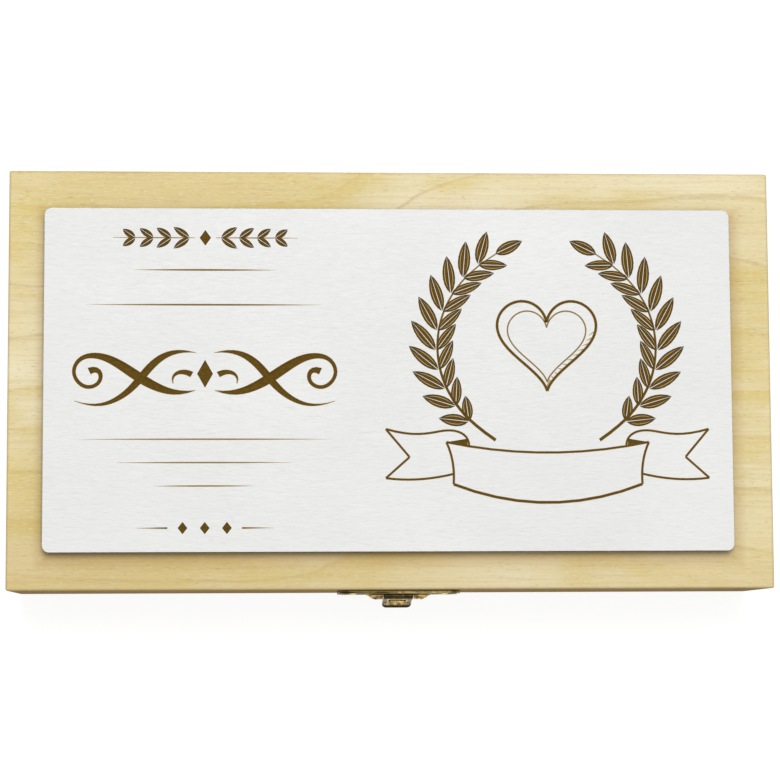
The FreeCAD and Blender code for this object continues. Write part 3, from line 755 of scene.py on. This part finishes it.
def engraving():
    """All that is engraved: rules between ornaments on the left, a wreath with a banner on the right."""
    drawing = Drawing()
    sprig(drawing, 32.4, 42)
    for up, length, half_width in ((25.0, 34, 0.26), (17.0, 56, 0.26)):
        rule(drawing, up, length, half_width)
    flourish(drawing, 0.6)
    for up, length, half_width in ((-13.7, 60, 0.22), (-19.0, 42, 0.22), (-24.3, 24, 0.22)):
        rule(drawing, up, length, half_width)
    end_mark(drawing, -33.8)
    wreath(drawing)
    heart(drawing)
    ribbon(drawing)
    return drawing


def curve_piece(name, dimensions):
    curve = bpy.data.curves.new(name, "CURVE")
    curve.dimensions = dimensions
    piece = bpy.data.objects.new(name, curve)
    bpy.context.scene.collection.objects.link(piece)
    middle = (PLAQUE_LOW + PLAQUE_HIGH) / 2
    piece.location = (middle.x, middle.y, PLAQUE_HIGH.z)
    return piece, curve


def to_closed_mesh(piece):
    """Turn a curve into a closed mesh with its place applied."""
    select_only(piece)
    bpy.ops.object.convert(target="MESH")
    apply_place(piece)
    merge_outward(piece)
    return piece


def cut_shapes(name, outlines):
    """Filled flat outlines, thick enough to cut the engraved depth."""
    piece, curve = curve_piece(name, "2D")
    curve.fill_mode = "BOTH"
    curve.extrude = ENGRAVED_DEPTH
    curve.resolution_u = 7
    for outline in outlines:
        spline = curve.splines.new("BEZIER")
        spline.use_cyclic_u = True
        spline.bezier_points.add(len(outline) - 1)
        for point, (knot, before, after) in zip(spline.bezier_points, outline):
            point.handle_left_type = point.handle_right_type = "FREE"
            point.co = Vector((*knot, 0)) * MM
            point.handle_left = Vector((*before, 0)) * MM
            point.handle_right = Vector((*after, 0)) * MM
    return to_closed_mesh(piece)


def cut_lines(name, lines):
    """Pen lines of changing width, as flattened tubes along smooth curves."""
    piece, curve = curve_piece(name, "3D")
    curve.bevel_depth = MM
    curve.bevel_resolution = 1
    curve.resolution_u = 5
    curve.use_fill_caps = True
    for points in lines:
        spline = curve.splines.new("NURBS")
        spline.points.add(len(points) - 1)
        for point, (across, up, half_width) in zip(spline.points, points):
            point.co = (across * MM, up * MM, 0, 1)
            point.radius = half_width
        spline.order_u = min(4, len(points))
        spline.use_endpoint_u = True
    piece.scale.z = LINE_FLATNESS
    piece.location.z += 0.01 * MM
    return to_closed_mesh(piece)


def carve(board, cutter, material):
    cutter.data.materials.append(material)
    subtract(board, cutter, material_mode="TRANSFER")


def joined_faces(faces):
    """Patches of those faces that edges join."""
    beside = {}
    for face in faces:
        for edge in face.edge_keys:
            beside.setdefault(edge, []).append(face)
    left = {face.index: face for face in faces}
    while left:
        patch = [left.popitem()[1]]
        for face in patch:
            for edge in face.edge_keys:
                patch.extend(left.pop(other.index) for other in beside[edge] if other.index in left)
        yield patch


def scorch_patches(board):
    """Scorch the small patches of paint that stand alone between lines."""
    board.data.materials.append(scorched_paint())
    scorched = len(board.data.materials) - 1
    painted = [face for face in board.data.polygons if faces_up(face) and face.material_index == 0]
    for patch in joined_faces(painted):
        if sum(face.area for face in patch) < SCORCHED_AREA:
            for face in patch:
                face.material_index = scorched


def plain_board():
    """Board with round corners, painted above and burnt round its sides."""
    def upright(mesh, edge):
        one, other = edge_ends(mesh, edge)
        return near(one.x, other.x) and near(one.y, other.y)

    board = block("engraved_plaque", PLAQUE_LOW, PLAQUE_HIGH)
    pick(board, "EDGE", upright)
    bpy.ops.mesh.bevel(offset=PLAQUE_CORNER, segments=8, affect="EDGES")
    leave_edit()
    pick(board, "FACE", lambda mesh, face: faces_up(face))
    bpy.ops.mesh.bevel(offset=PAINT_EDGE, segments=3, affect="EDGES")
    leave_edit()
    for material in (white_paint(), burnt_edge()):
        board.data.materials.append(material)
    for face in board.data.polygons:
        face.material_index = 0 if leans_up(face) else 1
    return board


def engraved_plaque():
    board = plain_board()
    drawing, line_brown = engraving(), burnt_line()
    for outlines in drawing.shapes.values():
        carve(board, cut_shapes("shape_cutter", outlines), line_brown)
    for lines in drawing.lines.values():
        carve(board, cut_lines("line_cutter", lines), line_brown)
    pick_all(board)
    bpy.ops.mesh.remove_doubles(threshold=SLIVER)
    bpy.ops.mesh.dissolve_degenerate(threshold=SLIVER)
    leave_edit()
    smooth(board)
    for face in board.data.polygons:
        face.use_smooth = not faces_up(face)
    scorch_patches(board)
    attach(board, "lid")
    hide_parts("plaque")


# Brass fittings: sheet rolled about the pins, in the places that the model gives

SHEET = 0.45 * MM
BRASS_EDGE = 0.09 * MM
STAMPED = 0.15 * MM
PLATE_RIM = 0.36 * MM
WINDOW_FOLD = 0.45 * MM
ROLL_STEPS = 20
ROLL_WRAP = 292.0
ROLL_SLACK = 0.1
KNUCKLE_GAP = 0.2 * MM
LEAF_CLEAR = 0.3 * MM
NAIL_HOLE = 0.65 * MM
HINGE_BORE = 0.43 * MM
HINGE_KNUCKLE = 5.0 * MM
HINGE_CORNER = 1.0 * MM
HINGE_NAIL_INSET = 4.0 * MM
HINGE_NAIL_MARGIN = 3.3 * MM
CLASP_BORE = 0.48 * MM
CLASP_KNUCKLE = 2.6 * MM
CLASP_FLARE = 2.8 * MM
CLASP_TAPER = 1.2 * MM
CLASP_NARROWED = math.radians(190.0)
CLASP_PLATE_HEIGHT = 6.0 * MM
CLASP_END = 0.49 * CLASP_PLATE_HEIGHT
CLASP_NAIL_INSET = 3.5 * MM
CLASP_BORDER = 0.5 * MM
STAMPED_SLOPE = 0.5 * MM
# Faces pressed less than this share take the dark brass: painted shade
PAINTED_SHADE_SHARE = 0.55
# Painted shade on the clasp plates: darker at the first place across, lighter at the second
CLASP_PAINTED_DARK_END = -12.0 * MM
CLASP_PAINTED_LIGHT_END = 6.0 * MM
NOSE_HALF_WIDTH = 1.6 * MM
NOSE_TOP = -4.0 * MM
NOSE_FOOT = -5.8 * MM
NOSE_ROUND = 0.4 * MM
TONGUE_WIDTH = 6.8 * MM
TONGUE_REACH = 7.5 * MM
TONGUE_NECK = 1.9 * MM
TONGUE_CORNER = 1.0 * MM
WINDOW_WIDTH = 4.0 * MM
WINDOW_TOP = -3.6 * MM
WINDOW_FOOT = -6.2 * MM
LIP_RADIUS = 1.6 * MM
LIP_TURN = 55.0
LIP_STEPS = 10
EYE_START = math.radians(-60.0)
EYE_WRAP = 300.0
ACROSS, UP = Vector((1, 0, 0)), Vector((0, 0, 1))
JOINTS = {joint["name"]: joint for joint in frame["joints"]}
HINGE_AXIS = Vector(JOINTS["lid_hinge"]["pos_m"])
CLASP_AXIS = Vector(JOINTS["clasp_swing"]["pos_m"])
CLASP_SHUT = JOINTS["clasp_swing"]["range_deg"][0]

# Places of a fitting's further materials, after its main one
SECOND, EDGE, RIM = 1, 2, 3


def blank(name, low, high, depth):
    """Upright sheet between two corners given across and up, facing the front."""
    bpy.ops.object.select_all(action="DESELECT")
    middle = ((low[0] + high[0]) / 2, depth, (low[1] + high[1]) / 2)
    bpy.ops.mesh.primitive_plane_add(size=1, location=middle, rotation=(math.pi / 2, 0, 0))
    sheet = bpy.context.object
    sheet.name = name
    sheet.scale = (high[0] - low[0], high[1] - low[1], 1)
    apply_place(sheet)
    return sheet


def round_corners(sheet, radius, wanted):
    pick(sheet, "VERT", lambda mesh, vertex: wanted(vertex.co))
    bpy.ops.mesh.bevel(offset=radius, segments=7, affect="VERTICES")
    leave_edit()


def score(sheet, axis, *places):
    """Divide the faces along planes across an axis."""
    for place in places:
        pick_all(sheet)
        bpy.ops.mesh.bisect(plane_co=axis * place, plane_no=axis)
        leave_edit()


def pick_edge(sheet, height, spans):
    """Go into edit mode on those stretches of a level edge that lie in the spans."""
    def wanted(mesh, edge):
        one, other = edge_ends(mesh, edge)
        across = (one.x + other.x) / 2
        level = near(one.z, height) and near(other.z, height)
        return level and any(low < across < high for low, high in spans)

    pick(sheet, "EDGE", wanted)


def draw_out(*shift):
    bpy.ops.mesh.extrude_region_move(TRANSFORM_OT_translate={"value": shift})


def roll(axis, degrees):
    """Roll the selected edges about an axis along X, from Y towards Z."""
    bpy.ops.mesh.spin(steps=ROLL_STEPS, angle=-math.radians(degrees), center=axis, axis=(1, 0, 0))


def roll_tabs(sheet, depth, height, tabs, axis, radius):
    """Run tabs from an edge of the plate to the pin along the wall, and roll them about it."""
    outward = math.copysign(1, axis.y - depth)
    towards = math.copysign(1, axis.z - height)
    bend = axis.z - towards * radius / 2
    pick_edge(sheet, height, tabs)
    draw_out(0, axis.y - outward * radius - depth, bend - height)
    draw_out(0, 0, axis.z - bend)
    roll(axis, -towards * outward * ROLL_WRAP)
    leave_edit()


def taper_tabs(sheet, axis, middle, outer):
    """Flare rolled tabs where they leave the plate, and narrow them the further they are rolled."""
    past_the_end = math.radians(ROLL_WRAP) + ROLL_SLACK
    for vertex in sheet.data.vertices:
        side = vertex.co.x - middle
        if near(abs(side), outer) and vertex.co.z < axis.z + 2 * CLASP_BORE:
            rolled = math.atan2(axis.z - vertex.co.z, vertex.co.y - axis.y) % (2 * math.pi)
            share = min(1.0, rolled / CLASP_NARROWED) if rolled < past_the_end else 0.0
            vertex.co.x += math.copysign(1, side) * (CLASP_FLARE - (CLASP_FLARE + CLASP_TAPER) * share)


def thicken(sheet):
    merge_outward(sheet)
    apply_modifier(sheet, "SOLIDIFY", thickness=SHEET, offset=0, use_even_offset=True)


def raise_rim(plate, wanted):
    """Fold up a narrow rim round the front of a plate."""
    pick(plate, "FACE", wanted)
    bpy.ops.mesh.inset(thickness=CLASP_BORDER, depth=0)
    leave_edit()
    field = {face.index for face in plate.data.polygons if face.select}
    pick(plate, "FACE", lambda mesh, face: wanted(mesh, face) and face.index not in field)
    draw_out(0, -PLATE_RIM, 0)
    leave_edit()


def drill(sheet, places):
    for place in places:
        bpy.ops.object.select_all(action="DESELECT")
        bpy.ops.mesh.primitive_cylinder_add(
            vertices=24, radius=NAIL_HOLE, depth=6 * SHEET, location=place, rotation=(math.pi / 2, 0, 0)
        )
        bit = bpy.context.object
        apply_place(bit)
        subtract(sheet, bit)


def nail_row(low, high, inset, depth, height):
    """Places of two nails, inset from both ends of a plate."""
    return [(across, depth, height) for across in (low.x + inset, high.x - inset)]


def fit_brass(sheet, node, body, materials):
    apply_modifier(
        sheet, "BEVEL", width=BRASS_EDGE, segments=2, limit_method="ANGLE", angle_limit=math.radians(40)
    )
    smooth(sheet, 38)
    chosen = [face.material_index for face in sheet.data.polygons]
    sheet.data.materials.clear()
    for material in materials:
        sheet.data.materials.append(material)
    sheet.data.polygons.foreach_set("material_index", chosen)
    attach(sheet, body)
    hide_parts(node)


def hinge_leaf(side, body, materials):
    """Leaf nailed to the back, with its knuckles rolled about the hinge pin."""
    node = f"{side}_hinge_{body}_leaf"
    low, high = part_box(node)
    depth = low.y + SHEET / 2
    above = 1 if body == "lid" else -1
    height = HINGE_AXIS.z + above * (HINGE_BORE + SHEET + LEAF_CLEAR)
    far = high.z if above > 0 else low.z
    inner, outer = low.x + HINGE_KNUCKLE, high.x - HINGE_KNUCKLE
    tabs = [(low.x, inner), (outer, high.x)]
    if body == "lid":
        inner, outer = inner + KNUCKLE_GAP, outer - KNUCKLE_GAP
        tabs = [(inner, outer)]
    leaf_sheet = blank(f"{node}_rolled", (low.x, min(height, far)), (high.x, max(height, far)), depth)
    round_corners(leaf_sheet, HINGE_CORNER, lambda place: near(place.z, far))
    score(leaf_sheet, ACROSS, inner, outer)
    roll_tabs(leaf_sheet, depth, height, tabs, HINGE_AXIS, HINGE_BORE + SHEET / 2)
    thicken(leaf_sheet)
    nail_height = far - above * HINGE_NAIL_MARGIN
    drill(leaf_sheet, nail_row(low, high, HINGE_NAIL_INSET, depth, nail_height))
    fit_brass(leaf_sheet, node, body, materials)


def clasp_blank(name, low, high, depth):
    """Plate with round ends."""
    plate = blank(name, (low.x, low.z), (high.x, high.z), depth)
    round_corners(plate, CLASP_END, lambda place: True)
    return plate


def hasp_plate(materials):
    """Upper plate of the clasp, whose tapered tabs are rolled about the pin beside the tongue."""
    low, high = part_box("hasp_plate")
    depth = high.y - SHEET / 2
    low.z = high.z - CLASP_PLATE_HEIGHT
    middle = CLASP_AXIS.x
    inner = TONGUE_WIDTH / 2 + KNUCKLE_GAP
    outer = inner + CLASP_KNUCKLE
    plate = clasp_blank("hasp_plate_rolled", low, high, depth)
    score(plate, ACROSS, middle - outer, middle - inner, middle + inner, middle + outer)
    tabs = [(middle - outer, middle - inner), (middle + inner, middle + outer)]
    roll_tabs(plate, depth, low.z, tabs, CLASP_AXIS, CLASP_BORE + SHEET / 2)
    taper_tabs(plate, CLASP_AXIS, middle, outer)
    thicken(plate)
    raise_rim(plate, lambda mesh, face: faces_front(face) and face.center.z > low.z)
    middle_height = (low.z + high.z) / 2
    drill(plate, nail_row(low, high, CLASP_NAIL_INSET, depth, middle_height))
    # Painted shade: the rolled tabs keep the bright brass, while the plate's upper edge and the top of
    # its rim take darker copies
    for face in plate.data.polygons:
        if face.center.z < low.z:
            face.material_index = SECOND
        elif leans_up(face) and face.center.z > middle_height:
            face.material_index = EDGE if face.center.y > depth - SHEET / 2 else RIM
    fit_brass(plate, "hasp_plate", "lid", materials)


def catch_plate(materials):
    """Lower plate of the clasp, with the nose that the tongue snaps over."""
    low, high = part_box("catch_plate")
    depth, tip = high.y - SHEET / 2, low.y
    middle = CLASP_AXIS.x
    top, foot = CLASP_AXIS.z + NOSE_TOP, CLASP_AXIS.z + NOSE_FOOT
    plate = clasp_blank("catch_plate_stamped", low, high, depth)
    thicken(plate)
    raise_rim(plate, lambda mesh, face: faces_front(face))
    score(plate, ACROSS, middle - NOSE_HALF_WIDTH, middle + NOSE_HALF_WIDTH)
    score(plate, UP, foot, top)

    def in_nose(mesh, face):
        inside = abs(face.center.x - middle) < NOSE_HALF_WIDTH and foot < face.center.z < top
        return inside and faces_front(face)

    pick(plate, "FACE", in_nose)
    draw_out(0, tip - (depth - SHEET / 2), 0)
    bpy.ops.mesh.bevel(offset=NOSE_ROUND, segments=4, affect="EDGES")
    leave_edit()
    drill(plate, nail_row(low, high, CLASP_NAIL_INSET, depth, (low.z + high.z) / 2))
    fit_brass(plate, "catch_plate", "base", materials)


def bend_lip(tongue, radius):
    """Turn the strip below the bar outwards along an arc."""
    for vertex in tongue.data.vertices:
        angle = (-TONGUE_REACH - vertex.co.z) / radius
        if angle > 0:
            vertex.co.y = -radius * (1 - math.cos(angle))
            vertex.co.z = -TONGUE_REACH - radius * math.sin(angle)


def dish_lip(tongue, radius):
    """Press the front of the bar and the lip in, all but a rim, whose faces take the dark brass as
    painted shade.
    """
    half = TONGUE_WIDTH / 2
    lip_length = math.radians(LIP_TURN) * radius
    shares = {}
    for vertex in tongue.data.vertices:
        across, out, up = vertex.co
        arm = Vector((0, out + radius, min(0, up + TONGUE_REACH)))
        if up > WINDOW_FOOT + SHEET / 2 or arm.length > radius:
            continue
        from_end = lip_length - math.atan2(-arm.z, arm.y) * radius
        from_window = WINDOW_FOOT - up
        from_side = half - abs(across)
        share = (min(from_end, from_window, from_side) - CLASP_BORDER) / STAMPED_SLOPE
        shares[vertex.index] = min(1.0, max(0.0, share))
        vertex.co += arm.normalized() * STAMPED * shares[vertex.index]
    for face in tongue.data.polygons:
        pressed = [shares.get(number) for number in face.vertices]
        if None not in pressed and sum(pressed) < PAINTED_SHADE_SHARE * len(pressed):
            face.material_index = SECOND


def clasp_tongue(materials):
    """Strip with a rolled eye, a window for the nose, with its lower edge folded back, and a dished lip.

    It is made upright about the pin, and then hung as it is at rest.
    """
    half = TONGUE_WIDTH / 2
    lip_radius = LIP_RADIUS + SHEET / 2
    lip_length = math.radians(LIP_TURN) * lip_radius
    foot = -TONGUE_REACH - lip_length
    tongue = blank("clasp_tongue_rolled", (-half, foot), (half, -TONGUE_NECK), 0)
    round_corners(tongue, TONGUE_CORNER, lambda place: near(place.z, foot))
    rim = half - CLASP_BORDER
    for place in (WINDOW_WIDTH / 2, rim - STAMPED_SLOPE, rim):
        score(tongue, ACROSS, -place, place)
    bar_rim = WINDOW_FOOT - CLASP_BORDER
    score(tongue, UP, WINDOW_TOP, WINDOW_FOOT, bar_rim, bar_rim - STAMPED_SLOPE)
    score(tongue, UP, *[-TONGUE_REACH - lip_length * step / LIP_STEPS for step in range(LIP_STEPS)])
    pick(tongue, "FACE", lambda mesh, face: abs(face.center.x) < WINDOW_WIDTH / 2
         and WINDOW_FOOT < face.center.z < WINDOW_TOP)
    bpy.ops.mesh.delete(type="FACE")
    leave_edit()
    pick_edge(tongue, WINDOW_FOOT, [(-WINDOW_WIDTH / 2, WINDOW_WIDTH / 2)])
    draw_out(0, WINDOW_FOLD, 0)
    leave_edit()

    eye_radius = CLASP_BORE + SHEET / 2
    pick_edge(tongue, -TONGUE_NECK, [(-half, half)])
    draw_out(0, eye_radius * math.cos(EYE_START), eye_radius * math.sin(EYE_START) + TONGUE_NECK)
    roll((0, 0, 0), EYE_WRAP)
    leave_edit()
    bend_lip(tongue, lip_radius)
    thicken(tongue)
    dish_lip(tongue, lip_radius)
    # Painted shade: the top of the eye and the slopes down both sides of the bar take the dark brass
    for face in tongue.data.polygons:
        on_margin = abs(face.center.x) > rim - STAMPED_SLOPE and WINDOW_FOOT < face.center.z
        if face.center.z > 0 or (on_margin and leans_front(face)):
            face.material_index = SECOND
    tongue.location = CLASP_AXIS
    tongue.rotation_euler.x = math.radians(CLASP_SHUT)
    apply_place(tongue)
    fit_brass(tongue, "clasp_tongue", "tongue", materials)


def brass_fittings():
    hinge_brass, wire_brass = brass("hinge_brass", 0.95, 0.16), brass("wire_brass", 1.1, 0.08)
    for side in ("left", "right"):
        for body in ("base", "lid"):
            hinge_leaf(side, body, [hinge_brass])
    # Painted shade: the clasp plates darken towards their left end and lighten towards the right
    sides = (CLASP_AXIS.x + CLASP_PAINTED_DARK_END, CLASP_AXIS.x + CLASP_PAINTED_LIGHT_END)
    # Darker copies of the clasp brass for the plates, their upper edge and their rim: painted shade
    shaded_plate_brass = brass("shaded_plate_brass", 0.44, 0.35, (*sides, 0.14, -0.05))
    tongue_brass = brass("tongue_brass", 0.95, 0.72)
    # Very dark copy of the brass, used as painted shade on the tongue
    painted_shade_brass = brass("painted_shade_brass", 0.16, 0.5)
    shaded_edge_brass = brass("shaded_edge_brass", 0.33, 0.2)
    shaded_rim_brass = brass("shaded_rim_brass", 0.5, 0.35, (*sides, 0.38, -0.05), 0.95)
    hasp_plate([shaded_plate_brass, tongue_brass, shaded_edge_brass, shaded_rim_brass])
    catch_plate([shaded_plate_brass])
    clasp_tongue([tongue_brass, painted_shade_brass])
    for node in NODES:
        if node.endswith(("pin", "nails")):
            dress(node, wire_brass)


# Light and floor

FLOOR_SIDE = 40.0
FLOOR_LEVEL = -0.2 * MM
FLOOR_GREY = 0.42
SEEN_FLOOR_GREY = 0.19
SEEN_FLOOR_GLOW = 0.89
WORLD_STRENGTH = 0.36

# Name, place, size and watts
LAMPS = (
    ("back_softbox", (0.0, 0.36, 1.2), 0.5, 7.1),
    ("overhead_softbox", (0.18, 0.2, 1.5), 1.4, 7.3),
)


def lamp(name, place, size, watts):
    """Square softbox that looks at the middle of the floor."""
    turn = (-Vector(place)).to_track_quat("-Z", "Y").to_euler()
    bpy.ops.object.light_add(type="AREA", location=place, rotation=turn)
    light = bpy.context.object
    light.name = name
    light.data.size = size
    light.data.energy = watts


def seen_ray(nodes, links):
    """1 where a camera, glossy or transmitted ray looks."""
    path = nodes.new("ShaderNodeLightPath")
    total = path.outputs["Is Camera Ray"]
    for name in ("Is Glossy Ray", "Is Transmission Ray"):
        either = nodes.new("ShaderNodeMath")
        either.operation = "MAXIMUM"
        links.new(total, either.inputs[0])
        links.new(path.outputs[name], either.inputs[1])
        total = either.outputs["Value"]
    return total


def add_floor():
    """White floor that glows where it is seen, and lights the box as plain grey."""
    bpy.ops.object.select_all(action="DESELECT")
    bpy.ops.mesh.primitive_plane_add(size=FLOOR_SIDE, location=(0, 0, FLOOR_LEVEL))
    floor = bpy.context.object
    floor.name = "floor"
    apply_place(floor)
    material = bpy.data.materials.new("white_floor")
    material.use_nodes = True
    nodes, links = material.node_tree.nodes, material.node_tree.links
    nodes.clear()
    plain = nodes.new("ShaderNodeBsdfDiffuse")
    plain.inputs["Color"].default_value = (FLOOR_GREY, FLOOR_GREY, FLOOR_GREY, 1)
    shaded = nodes.new("ShaderNodeBsdfDiffuse")
    shaded.inputs["Color"].default_value = (SEEN_FLOOR_GREY, SEEN_FLOOR_GREY, SEEN_FLOOR_GREY, 1)
    glow = nodes.new("ShaderNodeEmission")
    glow.inputs["Strength"].default_value = SEEN_FLOOR_GLOW
    seen = nodes.new("ShaderNodeAddShader")
    links.new(shaded.outputs["BSDF"], seen.inputs[0])
    links.new(glow.outputs["Emission"], seen.inputs[1])
    choice = nodes.new("ShaderNodeMixShader")
    links.new(seen_ray(nodes, links), choice.inputs["Fac"])
    links.new(plain.outputs["BSDF"], choice.inputs[1])
    links.new(seen.outputs["Shader"], choice.inputs[2])
    output = nodes.new("ShaderNodeOutputMaterial")
    links.new(choice.outputs["Shader"], output.inputs["Surface"])
    floor.data.materials.append(material)
    floor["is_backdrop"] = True


def add_world():
    world = bpy.data.worlds.new("studio")
    bpy.context.scene.world = world
    world.use_nodes = True
    background = world.node_tree.nodes["Background"]
    background.inputs["Color"].default_value = (1, 1, 1, 1)
    background.inputs["Strength"].default_value = WORLD_STRENGTH


def add_light():
    add_world()
    for settings in LAMPS:
        lamp(*settings)
    bpy.context.scene.view_settings.view_transform = "Standard"


def write_sizes():
    boxes = {"cad": CAD_BOX, "visual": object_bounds()}
    plain = {name: [list(low), list(high)] for name, (low, high) in boxes.items()}


add_camera()
dress_wood()
engraved_plaque()
brass_fittings()
add_floor()
add_light()
write_sizes()
